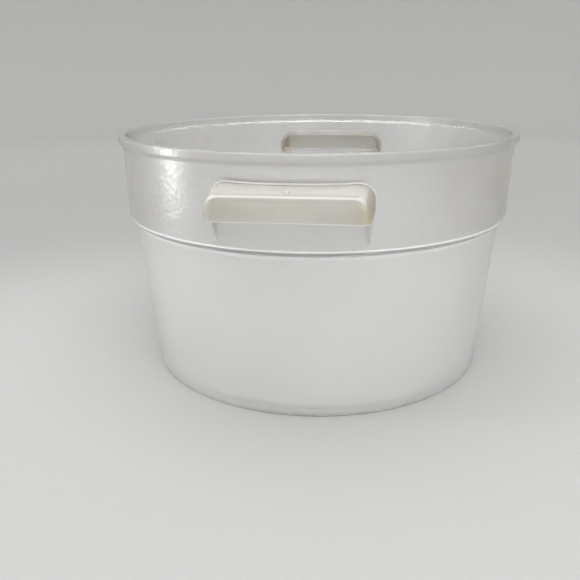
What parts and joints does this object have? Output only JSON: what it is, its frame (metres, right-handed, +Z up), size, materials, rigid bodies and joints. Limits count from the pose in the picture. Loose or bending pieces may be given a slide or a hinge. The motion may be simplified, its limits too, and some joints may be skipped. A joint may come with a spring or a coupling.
{
  "type": "round storage tub",
  "caption": "Round frosted plastic tub with a stepped wide band under a lipped rim and hooded finger grips on opposite sides, used to hold yarn or food.",
  "frame": {"origin": "centre of the base, on the surface that the tub stands on", "axes": "+Z up along the tub's axis, the grips on the Y axis with the front one at -Y, +X to the right"},
  "size_m": [0.25, 0.28, 0.148],
  "materials": {
    "tub_plastic": "frosted translucent natural plastic, lightly scratched",
    "grip_plastic": "cream translucent plastic, yellowed, softly glossy"
  },
  "bodies": {
    "root": {"tub": "tub_plastic", "front_grip": "grip_plastic", "rear_grip": "grip_plastic"}
  },
  "joints": []
}
